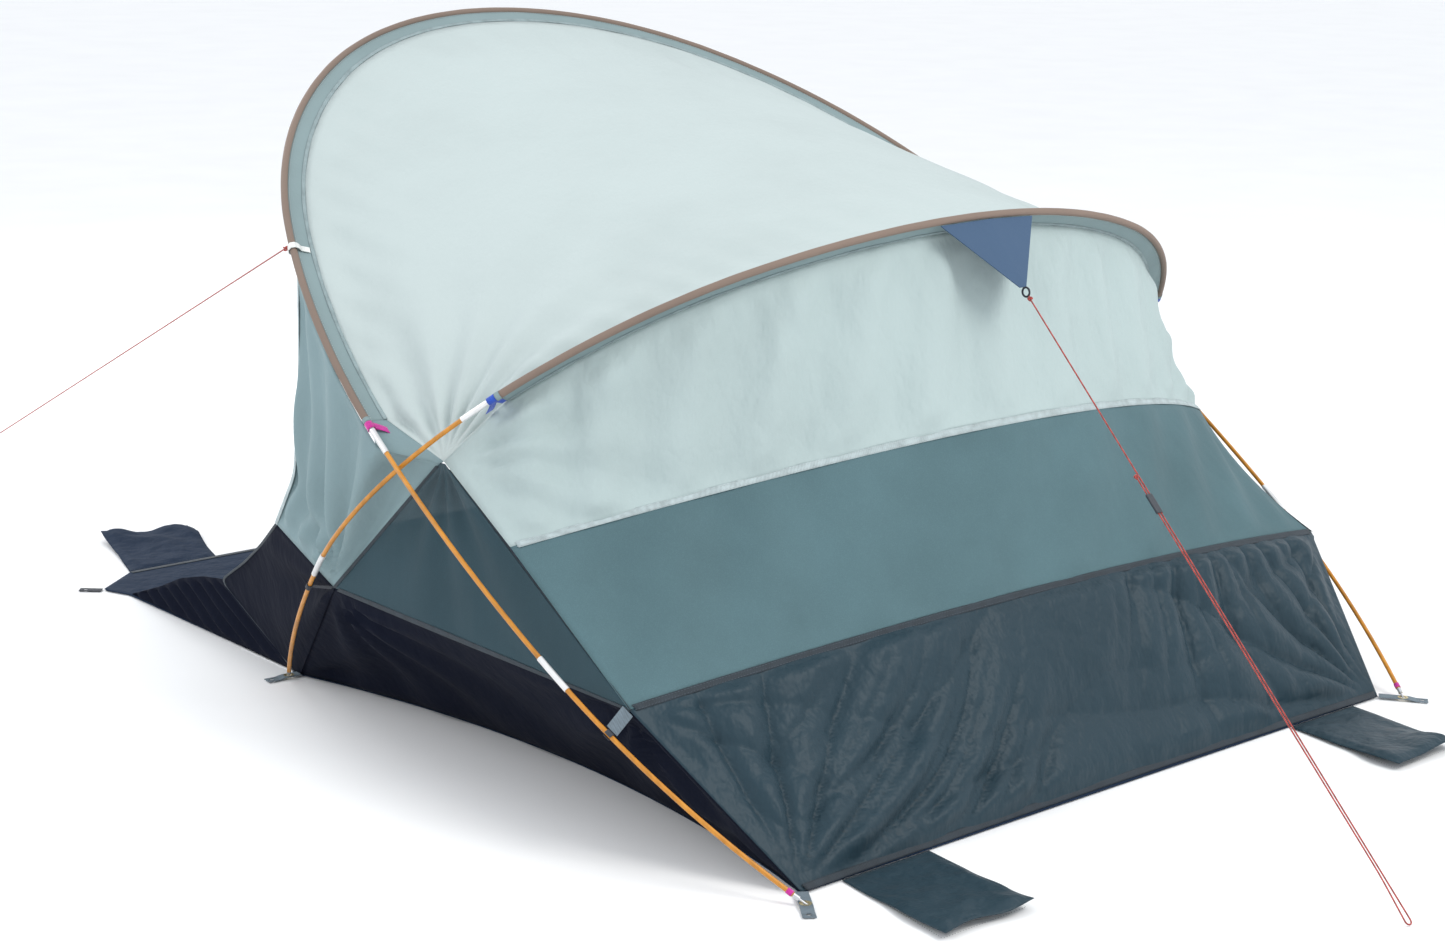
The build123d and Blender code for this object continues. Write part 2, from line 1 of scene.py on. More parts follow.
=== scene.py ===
"""The look of the pitched beach shelter: cloth, poles, tapes and guy lines, in the CAD frame."""
import json
from math import cos, pi, radians, sin

import bpy
import numpy as np
from mathutils import Matrix, Vector, noise


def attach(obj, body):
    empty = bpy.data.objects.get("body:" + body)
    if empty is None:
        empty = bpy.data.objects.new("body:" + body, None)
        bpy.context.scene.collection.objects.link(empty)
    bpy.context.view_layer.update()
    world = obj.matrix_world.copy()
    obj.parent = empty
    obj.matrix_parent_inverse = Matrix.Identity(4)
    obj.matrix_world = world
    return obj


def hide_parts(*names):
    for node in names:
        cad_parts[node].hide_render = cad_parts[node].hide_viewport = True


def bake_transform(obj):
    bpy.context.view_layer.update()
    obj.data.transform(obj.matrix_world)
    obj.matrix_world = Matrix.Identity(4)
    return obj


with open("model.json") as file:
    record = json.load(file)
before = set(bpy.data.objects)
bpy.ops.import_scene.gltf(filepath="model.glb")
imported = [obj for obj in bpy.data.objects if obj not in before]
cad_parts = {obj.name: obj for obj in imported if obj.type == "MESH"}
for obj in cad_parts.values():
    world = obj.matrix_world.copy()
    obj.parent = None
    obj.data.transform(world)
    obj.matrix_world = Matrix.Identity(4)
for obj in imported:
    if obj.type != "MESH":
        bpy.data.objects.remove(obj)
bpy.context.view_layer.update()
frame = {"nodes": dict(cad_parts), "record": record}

# Driving dimensions, in millimetres before the move to the row's origin ----------------------------
TO_ORIGIN_Y = 487
FOOT_Y = 795
FLANGE = 42
SLEEVE_R = 6.9
FRONT_SLEEVE_START, REAR_SLEEVE_START = 1268, 1165
CROSSING = (990, -88, 620)
FRONT_TIE, REAR_TIE = (1030, -400, 312), (985, 448, 280)
FRONT_CORNER, BACK_CORNER = (866, -788, 3), (845, 745, 3)
WALL_SEAM, WALL_SEAM_RISE = (990, 115, 500), (0, 310, 160)
REAR_TIE_RISE, BACK_HEM_RISE = (0, 100, 72), (0, -8, 0)
SIDE_BOW = 110
WING_FROM, WING_TO = FRONT_SLEEVE_START - 60, 1690    # along the front pole
WING_BESIDE_POLE = -11
WING_EDGE = [(958, -625, 700), (977, -618, 490), (978, -690, 372)]
WING_LOWER_EDGE = [(945, -800, 300), (910, -930, 225), (874, -1090, 143)]
SIDE_CREST = [(874, -1082, 147), (870, -1174, 132), (866, -1283, 102), (859, -1380, 60), (852, -1528, 6)]
SIDE_GROUND = [(865, -800, 3), (851, -1534, 3)]
APRON_HINGE_Y, APRON_CORNER_Y, APRON_FRONT_Y = -816, -1540, -1706
APRON_EDGE_X, APRON_FRONT_X, APRON_LOOP = 844, 760, (884, -1612)
COLUMNS = 20
TAPE_BEFORE_SLEEVE = 14
SLEEVE_STEP = 7                   # between the rings of points along a sleeve
GROUND_CLOTH_Z = 1.6
# Sand pockets: inner edge, width, length and the outer end's shift to the side
FRONT_POCKET = (521, 238, 298, -95)
REAR_POCKET_RIGHT, REAR_POCKET_LEFT = (535, 216, 285, 52), (-751, 216, 285, 52)
TAPE_WIDTH = 0.017                # in metres, as are the lengths that follow
SEAM_TAPE = 0.014
LEFT_DRAWN_IN = 0.034             # middle of the left window seam
CLOTH = 0.0012                    # thickness of the cloth
CORD_D = 0.003

# The camera stands behind the shelter's right rear corner
CAMERA_AT = (3.700, 4.1855, 1.7327)
CAMERA_HEADING, CAMERA_PITCH, CAMERA_ROLL = radians(-131.945), radians(-13.702), radians(1.211)
LENS, SENSOR = 64.18, 36.0
SKY_COLOUR, SKY_STRENGTH = (0.93, 0.96, 1.0, 1), 1.06


def metres(point):
    x, y, z = point
    return np.array((x, y + TO_ORIGIN_Y, z)) / 1000


def offset(vector):
    return np.array(vector) / 1000


def mirrored(points):
    return np.asarray(points) * (-1, 1, 1)


# Camera, floor and light ---------------------------------------------------------------------------
def add_camera():
    data = bpy.data.cameras.new("camera")
    data.lens, data.sensor_width, data.sensor_fit = LENS, SENSOR, "HORIZONTAL"
    data.clip_end = 100
    camera = bpy.data.objects.new("camera", data)
    bpy.context.collection.objects.link(camera)
    flat = cos(CAMERA_PITCH)
    ahead = Vector((flat * cos(CAMERA_HEADING), flat * sin(CAMERA_HEADING), sin(CAMERA_PITCH)))
    right = ahead.cross(Vector((0, 0, 1))).normalized()
    up = right.cross(ahead)
    level_right = right * cos(CAMERA_ROLL) + up * sin(CAMERA_ROLL)
    level_up = up * cos(CAMERA_ROLL) - right * sin(CAMERA_ROLL)
    turn = Matrix((level_right, level_up, -ahead)).transposed().to_4x4()
    camera.matrix_world = Matrix.Translation(CAMERA_AT) @ turn
    bpy.context.scene.camera = camera


def area_light(name, place, target, size, watts, colour=(1, 1, 1)):
    data = bpy.data.lights.new(name, "AREA")
    data.shape, data.size, data.energy, data.color = "DISK", size, watts, colour
    light = bpy.data.objects.new(name, data)
    light.location = place
    light.rotation_euler = (Vector(target) - Vector(place)).to_track_quat("-Z", "Y").to_euler()
    bpy.context.collection.objects.link(light)


def add_studio():
    bpy.ops.mesh.primitive_plane_add(size=60, location=(0, 0, -0.002))
    floor = bpy.context.object
    floor.name = "studio_floor"
    floor.data.materials.append(plain_material("studio_floor", (0.95, 0.95, 0.95), roughness=0.9))
    world = bpy.data.worlds.new("studio")
    world.use_nodes = True
    background = world.node_tree.nodes["Background"]
    background.inputs["Color"].default_value = SKY_COLOUR
    background.inputs["Strength"].default_value = SKY_STRENGTH
    bpy.context.scene.world = world
    bpy.context.scene.view_settings.view_transform = "Standard"
    area_light("key", (-1.0, 5.0, 5.5), (0, 0.4, 0.5), 3.0, 190, (1, 0.98, 0.94))
    area_light("side", (5.0, -1.5, 4.0), (0.6, 0, 0.4), 3.0, 70)
    area_light("inside", (0, -5.0, 3.0), (0, 0, 0.4), 3.0, 90)


# Materials -----------------------------------------------------------------------------------------
WAVE_PITCH = 0.314                # of Blender's wave texture at scale 1, in metres


class Shader:
    """A Principled material with a few short ways to add nodes."""

    def __init__(self, name, **sockets):
        self.material = bpy.data.materials.new(name)
        self.material.use_nodes = True
        self.tree = self.material.node_tree
        self.surface = self.tree.nodes["Principled BSDF"]
        for socket, value in sockets.items():
            self.surface.inputs[socket.replace("_", " ")].default_value = value
        self.place = self.node("ShaderNodeTexCoord").outputs["Object"]

    def node(self, kind, **inputs):
        made = self.tree.nodes.new(kind)
        for name, value in inputs.items():
            self.feed(made.inputs[name.replace("_", " ")], value)
        return made

    def feed(self, socket, value):
        if isinstance(value, bpy.types.NodeSocket):
            self.tree.links.new(value, socket)
        else:
            socket.default_value = value

    def math(self, operation, a, b=0.0):
        made = self.tree.nodes.new("ShaderNodeMath")
        made.operation = operation
        self.feed(made.inputs[0], a)
        self.feed(made.inputs[1], b)
        return made.outputs[0]

    def noise(self, scale, detail=3.0, roughness=0.55, stretch=(1, 1, 1)):
        stretched = self.node("ShaderNodeMapping", Vector=self.place, Scale=stretch)
        made = self.node("ShaderNodeTexNoise", Vector=stretched.outputs[0], Scale=scale)
        made.inputs["Detail"].default_value = detail
        made.inputs["Roughness"].default_value = roughness
        return made.outputs[0]

    def bands(self, direction, pitch):
        """Parallel ridges with the given pitch in metres, 0 to 1."""
        wave = self.node("ShaderNodeTexWave", Vector=self.place, Scale=WAVE_PITCH / pitch)
        wave.bands_direction = direction
        return wave.outputs["Fac"]

    def colours(self, factor, stops):
        ramp = self.node("ShaderNodeValToRGB", Fac=factor)
        elements = ramp.color_ramp.elements
        for element, (position, colour) in zip(elements, (stops[0], stops[-1])):
            element.position, element.color = position, (*colour, 1)
        for position, colour in stops[1:-1]:
            elements.new(position).color = (*colour, 1)
        return ramp.outputs[0]

    def bump(self, height, strength, distance, after=None):
        made = self.node("ShaderNodeBump", Height=height, Strength=strength, Distance=distance)
        if after:
            self.feed(made.inputs["Normal"], after)
        return made.outputs[0]

    def finish(self, colour, normal=None):
        self.feed(self.surface.inputs["Base Color"], colour)
        if normal:
            self.feed(self.surface.inputs["Normal"], normal)
        return self.material


def scaled(colour, factor):
    return tuple(min(1.0, channel * factor) for channel in colour)


def plain_material(name, colour, roughness):
    shader = Shader(name, Roughness=roughness)
    return shader.finish(shader.colours(shader.noise(2.0), [(0.3, scaled(colour, 0.97)), (0.7, colour)]))


def woven(shader, pitch):
    """Height of a fine weave, uneven as real threads are: two crossed sets of short ridges."""
    along = shader.noise(1 / pitch, detail=1.0, stretch=(1, 1, 0.25))
    across = shader.noise(1 / pitch, detail=1.0, stretch=(0.25, 0.25, 1))
    return shader.math("MAXIMUM", along, across)


def cloth_material(name, colour, sheen=0.03, roughness=0.72, crease=0.5, stain=0.06, gloss=0.2):
    """Coated polyester: soft shade changes, small sharp creases and a fine weave."""
    shader = Shader(name, Roughness=roughness, Sheen_Weight=sheen, Specular_IOR_Level=gloss)
    shade = shader.math("ADD", shader.math("MULTIPLY", shader.noise(2.6, detail=5.0), 0.8),
                        shader.math("MULTIPLY", woven(shader, 0.0012), 0.2))
    tint = shader.colours(shade, [(0.3, scaled(colour, 1 - 2 * stain)), (0.52, colour),
                                  (0.75, scaled(colour, 1 + stain))])
    waves = shader.noise(9.0, detail=4.0, stretch=(1, 1, 0.45))
    ridge = shader.math("ABSOLUTE", shader.math("SUBTRACT", shader.noise(16.0, detail=2.0), 0.5))
    folds = shader.bump(waves, crease, 0.02)
    creases = shader.bump(ridge, crease * 0.6, 0.008, after=folds)
    return shader.finish(tint, shader.bump(woven(shader, 0.0008), 0.12, 0.0003, after=creases))


def mesh_material(name, colour, cover):
    """Fine insect mesh: a net in its shade and bump, and see-through by the same share all over."""
    shader = Shader(name, Roughness=0.7, Sheen_Weight=0.03, Specular_IOR_Level=0.2, Alpha=cover)
    cells = shader.node("ShaderNodeTexVoronoi", Vector=shader.place, Scale=520.0)
    net = cells.outputs["Distance"]
    shade = shader.math("ADD", shader.math("MULTIPLY", shader.noise(3.5, detail=4.0), 0.7),
                        shader.math("MULTIPLY", net, 0.3))
    tint = shader.colours(shade, [(0.3, scaled(colour, 0.85)), (0.7, scaled(colour, 1.15))])
    folds = shader.bump(shader.noise(7.0, detail=3.0, stretch=(1, 1, 0.4)), 0.4, 0.02)
    return shader.finish(tint, shader.bump(net, 0.3, 0.0004, after=folds))


def webbing_material(name, colour, sheen=0.3):
    """Flat tape with ribs across it."""
    shader = Shader(name, Roughness=0.7, Sheen_Weight=sheen)
    ribs = shader.math("ADD", shader.bands("X", 0.0021), shader.bands("DIAGONAL", 0.0017))
    # The ribs also tint the tape, darker in their valleys: painted shade
    shade = shader.math("ADD", shader.noise(40.0), shader.math("MULTIPLY", ribs, 0.12))
    tint = shader.colours(shade, [(0.35, scaled(colour, 0.75)), (0.75, scaled(colour, 1.15))])
    return shader.finish(tint, shader.bump(ribs, 0.5, 0.0006))


def cord_material(name, colour, pitch=0.0022):
    """Braided cord, darker in the braid's grooves and lighter on its raised strands: painted shade and
    painted highlight.
    """
    shader = Shader(name, Roughness=0.65, Sheen_Weight=0.4)
    braid = shader.math("MULTIPLY", shader.bands("DIAGONAL", pitch), shader.bands("Z", pitch))
    # The tint follows the braid's height: painted shade in the grooves, painted highlight on the strands
    tint = shader.colours(braid, [(0.0, scaled(colour, 0.45)), (0.35, colour), (1.0, scaled(colour, 1.25))])
    return shader.finish(tint, shader.bump(braid, 0.7, 0.0006))


def pole_material():
    """Pultruded glass fibre: fine streaks under a clear skin, with scuffs."""
    colour = (0.55, 0.215, 0.008)
    shader = Shader("fibreglass", Roughness=0.36, Coat_Weight=0.25, Coat_Roughness=0.25)
    streaks = shader.noise(160.0, detail=4.0, stretch=(1, 0.2, 0.2))
    shade = shader.math("ADD", shader.math("MULTIPLY", streaks, 0.6),
                        shader.math("MULTIPLY", shader.noise(9.0), 0.4))
    tint = shader.colours(shade, [(0.3, scaled(colour, 0.62)), (0.55, colour), (0.8, (0.68, 0.31, 0.03))])
    return shader.finish(tint, shader.bump(streaks, 0.15, 0.0003))


def metal_material(name, colour, roughness, metallic=0.85):
    shader = Shader(name, Metallic=metallic)
    scuffs = shader.noise(60.0, detail=5.0, stretch=(1, 0.3, 0.3))
    wear = shader.math("ADD", shader.math("MULTIPLY", scuffs, 0.3), roughness - 0.12)
    shader.feed(shader.surface.inputs["Roughness"], wear)
    tint = shader.colours(scuffs, [(0.3, scaled(colour, 0.8)), (0.65, colour)])
    return shader.finish(tint, shader.bump(scuffs, 0.15, 0.0003))


def plastic_material(name, colour):
    shader = Shader(name, Roughness=0.45)
    grain = shader.noise(700.0, detail=2.0)
    tint = shader.colours(shader.noise(30.0), [(0.3, scaled(colour, 0.85)), (0.7, scaled(colour, 1.15))])
    return shader.finish(tint, shader.bump(grain, 0.2, 0.0002))


MATERIALS = {
    "roof_cloth": cloth_material("roof_cloth", (0.455, 0.522, 0.517), crease=0.35, stain=0.03),
    "wall_cloth": cloth_material("wall_cloth", (0.395, 0.478, 0.476), crease=0.7, stain=0.05),
    # wing_cloth is the roof's fabric painted darker: painted shade for the wings, which face away from the
    # light
    "wing_cloth": cloth_material("wing_cloth", (0.205, 0.289, 0.307), crease=0.4),
    # sleeve_cloth is the roof's fabric painted darker: painted shade for the flange, which faces away from
    # the light
    "sleeve_cloth": cloth_material("sleeve_cloth", (0.225, 0.30, 0.31), crease=0.25),
    "sleeve_tube": cloth_material("sleeve_tube", (0.22, 0.165, 0.135), crease=0.2),
    "slate_cloth": cloth_material("slate_cloth", (0.014, 0.036, 0.051), crease=1.0, gloss=0.26,
                                  roughness=0.48),
    # navy_cloth is dark navy cloth painted down to near-black: its own navy with painted shade for the shaded
    # side panels
    "navy_cloth": cloth_material("navy_cloth", (0.004, 0.006, 0.015), crease=0.5, sheen=0.0, gloss=0.07),
    "floor_cloth": cloth_material("floor_cloth", (0.010, 0.023, 0.050), crease=0.8, sheen=0.0, gloss=0.10,
                                  roughness=0.7),
    "gusset_cloth": cloth_material("gusset_cloth", (0.055, 0.100, 0.175), crease=0.3),
    "mesh": mesh_material("mesh", (0.092, 0.165, 0.185), 0.86),
    "side_mesh": mesh_material("side_mesh", (0.030, 0.062, 0.078), 0.86),
    "seam_light": webbing_material("seam_light", (0.38, 0.45, 0.46), sheen=0.05),
    "seam_grey": webbing_material("seam_grey", (0.24, 0.31, 0.32), sheen=0.05),
    "seam_dark": webbing_material("seam_dark", (0.016, 0.026, 0.036), sheen=0.05),
    "thread": plain_material("thread", (0.45, 0.50, 0.50), roughness=0.8),
    "dark_thread": plain_material("dark_thread", (0.07, 0.09, 0.11), roughness=0.8),
    # webbing is grey tape set darker than its lit colour: its own grey with painted shade from the front
    # tabs, which are in shadow
    "webbing": webbing_material("webbing", (0.13, 0.17, 0.20), sheen=0.05),
    # dark_webbing is the webbing painted near-black: painted shade for the apron's peg loops, which lie in
    # shadow
    "dark_webbing": webbing_material("dark_webbing", (0.016, 0.020, 0.030), sheen=0.05),
    "magenta_tape": webbing_material("magenta_tape", (0.50, 0.01, 0.26)),
    "blue_tape": webbing_material("blue_tape", (0.005, 0.06, 0.42)),
    "white_tape": webbing_material("white_tape", (0.75, 0.77, 0.75)),
    "guy_cord": cord_material("guy_cord", (0.46, 0.045, 0.03)),
    "shock_cord": cord_material("shock_cord", (0.05, 0.05, 0.055)),
    "fibreglass": pole_material(),
    "ferrule_metal": metal_material("ferrule_metal", (0.80, 0.80, 0.80), 0.42, metallic=0.7),
    "tip_metal": metal_material("tip_metal", (0.62, 0.63, 0.65), 0.36),
    "brass": metal_material("brass", (0.74, 0.62, 0.36), 0.38),
    "dark_plastic": plastic_material("dark_plastic", (0.03, 0.035, 0.045)),
}


# The apron's peg loops take dark_webbing: the webbing with painted shade that makes it near-black
OWN_MATERIAL = {"apron_peg_loops": "dark_webbing", "rear_gusset": "gusset_cloth"}


def finish_cad_nodes():
    """Every CAD node gets the detailed material of its own slot."""
    for part in frame["record"]["subparts"]:
        node = frame["nodes"][part["node"]]
        node.data.materials.clear()
        node.data.materials.append(MATERIALS[OWN_MATERIAL.get(part["node"], part["material_slot"])])


# Geometry helpers ----------------------------------------------------------------------------------
class Arch:
    """The same bent pole as in the CAD model: equal tangent arcs in one tilted plane."""

    def __init__(self, half_span, foot_y, tilt, sections, turn):
        self.foot_y, self.tilt, self.sections = foot_y, radians(tilt), sections
        stations = [2 * i / sections - 1 for i in range(sections + 1)]
        self.angles = [turn[0] * t + turn[1] * t**3 + turn[2] * t**5 for t in stations]
        self.section = 1.0
        self.joints = [(0.0, 0.0)]
        for i in range(sections):
            self.joints.append(self.along(i, 1.0)[:2])
        self.section = 2 * half_span / abs(self.joints[-1][0])
        self.joints = [(half_span + x * self.section, h * self.section) for x, h in self.joints]
        self.length = sections * self.section

    def along(self, i, s):
        x, h = self.joints[i]
        bend = (self.angles[i + 1] - self.angles[i]) / self.section
        a, b = self.angles[i], self.angles[i] + bend * s
        return x - (sin(b) - sin(a)) / bend, h + (cos(b) - cos(a)) / bend, b

    def point(self, s, inward=0.0, across=0.0):
        """A point beside the pole's axis: inward in the arch's plane, across at right angles to it."""
        i = min(int(s / self.section), self.sections - 1)
        x, h, angle = self.along(i, s - i * self.section)
        x, h = x + sin(angle) * inward, h - cos(angle) * inward
        y = self.foot_y + h * sin(self.tilt) + across * cos(self.tilt)
        return metres((x, y, h * cos(self.tilt) - across * sin(self.tilt)))


FRONT = Arch(872, FOOT_Y, -57, 10, (3.48, -3.34, 1.87))
REAR = Arch(890, -FOOT_Y, 47, 8, (1.40, 3.17, -2.58))


def line(points, count):
    """count points, evenly spaced along straight runs between the points."""
    points = np.array(points, float)
    steps = np.linalg.norm(np.diff(points, axis=0), axis=1)
    lengths = np.concatenate([[0], np.cumsum(steps)])
    wanted = np.linspace(0, lengths[-1], count)
    return np.stack([np.interp(wanted, lengths, points[:, k]) for k in range(3)], axis=1)


def smooth_line(points, count):
    """The same with its corners rounded."""
    dense = line(points, count)
    for _ in range(max(2, count // 12)):
        dense[1:-1] = (dense[:-2] + 2 * dense[1:-1] + dense[2:]) / 4
    return dense


def seam_over(arch, start, count):
    """From the right crossing corner along the pole's flange to the left corner."""
    stop = arch.length - start
    corner = metres(CROSSING)
    points = []
    for column in np.linspace(0, COLUMNS, count):
        if column < 1:
            points.append(corner + (arch.point(start, FLANGE) - corner) * column)
        elif column > COLUMNS - 1:
            points.append(mirrored(corner + (arch.point(start, FLANGE) - corner) * (COLUMNS - column)))
        else:
            points.append(arch.point(start + (stop - start) * (column - 1) / (COLUMNS - 2), FLANGE))
    return np.array(points)


def bowed(end, rise, above):
    """A seam from end to its mirror image, with a point under each point above."""
    end, share = metres(end), above[:, :1] / above[0, 0]
    level = np.array([[0, end[1], end[2]]]) + share * [[end[0], 0, 0]]
    return level + offset(rise) * (1 - share**2)


def ruled(first, last, rows):
    share = np.linspace(0, 1, rows)[:, None, None]
    return first[None] * (1 - share) + last[None] * share


def coons(top, bottom, left, right):
    """Grid between four border lines: left and right run from top to bottom."""
    v = np.linspace(0, 1, len(left))[:, None, None]
    u = np.linspace(0, 1, len(top))[None, :, None]
    flat = (top[0] * (1 - u) + top[-1] * u) * (1 - v) + (bottom[0] * (1 - u) + bottom[-1] * u) * v
    return top[None] * (1 - v) + bottom[None] * v + left[:, None] * (1 - u) + right[:, None] * u - flat


def normals(grid):
    down, across = np.gradient(grid, axis=0), np.gradient(grid, axis=1)
    cross = np.cross(across, down)
    return cross / np.maximum(np.linalg.norm(cross, axis=2, keepdims=True), 1e-12)


def rough(grid, scale, seed, stretch=(1, 1, 1)):
    """Smooth noise from -1 to 1 at every point of the grid."""
    flat = grid.reshape(-1, 3) * scale * np.array(stretch) + seed * 17.3
    return np.array([noise.noise(Vector(point)) for point in flat]).reshape(grid.shape[:2])


def creased(grid, scale, seed, stretch=(1, 1, 1)):
    """Noise with sharp ridges, as in cloth that has been folded."""
    return 0.5 - 2 * np.abs(rough(grid, scale, seed, stretch))


def fade(shape, rows=(0.12, 0.12), columns=(0.04, 0.04)):
    """1 inside the grid, falling to 0 at its four edges over the given shares."""
    def ramp(count, low, high):
        t = np.linspace(0, 1, count)
        return np.clip(t / max(low, 1e-6), 0, 1) * np.clip((1 - t) / max(high, 1e-6), 0, 1)
    both = ramp(shape[0], *rows)[:, None] * ramp(shape[1], *columns)[None, :]
    return both * both * (3 - 2 * both)


def pleated(wave):
    """Narrow ridges between broad flat valleys, where a wave crosses zero."""
    return 1 - 2 * np.abs(wave) ** 0.6


def fan(grid, corner, folds, reach, seed, wander=1.6, shape=lambda wave: wave):
    """Folds that spread from a pulled corner and die away."""
    corner = np.asarray(corner)
    away = grid - corner
    distance = np.linalg.norm(away, axis=2)
    main = grid.reshape(-1, 3).mean(axis=0) - corner
    main /= np.linalg.norm(main)
    flat_normal = normals(grid).reshape(-1, 3).mean(axis=0)
    side = np.cross(flat_normal, main)
    side /= np.linalg.norm(side)
    angle = np.arctan2(away @ side, away @ main)
    wobble = wander * rough(grid, 3.0, seed)
    strength = np.exp(-distance / reach) * np.clip(distance / (0.02 + 0.15 * reach), 0, 1)
    return shape(np.sin(angle * folds + wobble + seed)) * strength


# Cloth pieces --------------------------------------------------------------------------------------
def mesh_object(name, points, faces, material):
    data = bpy.data.meshes.new(name)
    data.from_pydata([tuple(p) for p in points], [], faces)
    data.validate()
    for polygon in data.polygons:
        polygon.use_smooth = True
    data.materials.append(MATERIALS[material])
    made = bpy.data.objects.new(name, data)
    bpy.context.collection.objects.link(made)
    return made


def grid_faces(rows, columns, closed=False):
    wrap = columns if closed else columns - 1
    return [(i * columns + j, i * columns + (j + 1) % columns, (i + 1) * columns + (j + 1) % columns,
             (i + 1) * columns + j) for i in range(rows - 1) for j in range(wrap)]


def thicken(piece, thickness=CLOTH):
    solid = piece.modifiers.new("thickness", "SOLIDIFY")
    solid.thickness, solid.offset = thickness, 0.0


def cloth(name, grid, height, material, node, body="shelter"):
    """A panel of cloth on a grid, lifted off it by the height, in place of its CAD node."""
    shaped = grid + normals(grid) * height[..., None]
    rows, columns = grid.shape[:2]
    piece = mesh_object(f"{name}_cloth", shaped.reshape(-1, 3), grid_faces(rows, columns), material)
    thicken(piece)
    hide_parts(node)
    if body:
        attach(piece, body)
    return piece


def ribbon(name, points, across, width, material, body="shelter", lift=0.0, thickness=0.0009):
    """A narrow flat tape along a line; across is one direction, or one for each point."""
    points = np.asarray(points)
    across = np.broadcast_to(np.asarray(across, float), points.shape)
    across = across / np.linalg.norm(across, axis=1, keepdims=True)
    ahead = np.gradient(points, axis=0)
    up = np.cross(across, ahead)
    up /= np.maximum(np.linalg.norm(up, axis=1, keepdims=True), 1e-12)
    lanes = [points + across * width * share + up * lift for share in (-0.5, -0.25, 0, 0.25, 0.5)]
    grid = np.stack(lanes, axis=1)
    piece = mesh_object(name, grid.reshape(-1, 3), grid_faces(len(points), len(lanes)), material)
    thicken(piece, thickness)
    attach(piece, body)
    return piece


def stitches(name, points, up, material="thread", pitch=0.0065, length=0.0042, radius=0.0006, body="shelter"):
    """A row of thread stitches along a line, standing a little proud along up."""
    points = np.asarray(points)
    total = np.linalg.norm(np.diff(points, axis=0), axis=1).sum()
    middles = line(points, max(3, int(total / pitch)))
    ahead = np.gradient(middles, axis=0)
    ahead /= np.linalg.norm(ahead, axis=1, keepdims=True)
    up = np.broadcast_to(np.asarray(up, float), points.shape)
    up = np.stack([np.interp(np.linspace(0, 1, len(middles)), np.linspace(0, 1, len(points)), up[:, k])
                   for k in range(3)], axis=1)
    up /= np.linalg.norm(up, axis=1, keepdims=True)
    side = np.cross(ahead, up)
    ring = [(-0.5, 0.0, 0.2), (-0.3, 0.7, 0.8), (0.3, 0.7, 0.8), (0.5, 0.0, 0.2), (0.3, -0.7, 0.8),
            (-0.3, -0.7, 0.8)]
    verts, faces = [], []
    for k in range(len(middles)):
        base = len(verts)
        for x, y, z in ring:
            verts.append(middles[k] + ahead[k] * x * length + side[k] * y * radius + up[k] * z * radius)
        verts.append(middles[k] + up[k] * radius * 1.5)
        top = base + len(ring)
        faces += [(base + i, base + (i + 1) % len(ring), top) for i in range(len(ring))]
    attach(mesh_object(name, verts, faces, material), body)


FINE = 161                        # columns of the roof and back wall grids
FRONT_SEAM = seam_over(FRONT, FRONT_SLEEVE_START, FINE)
REAR_SEAM = seam_over(REAR, REAR_SLEEVE_START, FINE)
UPPER_SEAM = bowed(WALL_SEAM, WALL_SEAM_RISE, REAR_SEAM)
LOWER_SEAM = bowed(REAR_TIE, REAR_TIE_RISE, REAR_SEAM)
HEM = bowed(BACK_CORNER, BACK_HEM_RISE, REAR_SEAM)


def along_columns(grid, folds, seed, lean=0.0):
    """Soft parallel folds that run down the grid, unevenly spaced."""
    rows, columns = grid.shape[:2]
    u = np.linspace(0, 1, columns)[None, :] + lean * np.linspace(0, 1, rows)[:, None]
    return np.sin(2 * pi * folds * u + 2.6 * rough(grid, 2.1, seed) + seed)


def draw_in(grid, depths):
    """Pull the left ends of the grid's rows inwards by the given depth for each row."""
    share = np.linspace(0, 1, grid.shape[1])[None, :]
    grid[..., 0] += np.asarray(depths)[:, None] * np.clip(2 * share - 1, 0, 1) ** 2


def window_bow(shares):
    """How far the left window seam is pulled in, at shares of its length from its upper end."""
    inside = np.clip(shares, 0, 1)
    return LEFT_DRAWN_IN * 4 * inside * (1 - inside)


def add_roof():
    grid = ruled(FRONT_SEAM, REAR_SEAM, 49)
    soft = fade(grid.shape, (0.10, 0.10), (0.05, 0.05))
    near_front = np.exp(-np.linspace(0, 9, grid.shape[0]))[:, None]
    near_rear = near_front[::-1]
    height = 0.010 * rough(grid, 1.9, 1, (1, 0.6, 1)) + 0.005 * rough(grid, 7.0, 2, (1, 0.35, 1))
    height += 0.007 * along_columns(grid, 34, 3, 0.05) * near_front
    height += 0.006 * along_columns(grid, 27, 4, -0.04) * near_rear
    for side, seed in ((1, 5), (-1, 6)):
        height += 0.012 * fan(grid, metres(CROSSING) * (side, 1, 1), 16, 0.45, seed)
    height += 0.012
    cloth("roof", grid, soft * height, "roof_cloth", "roof")


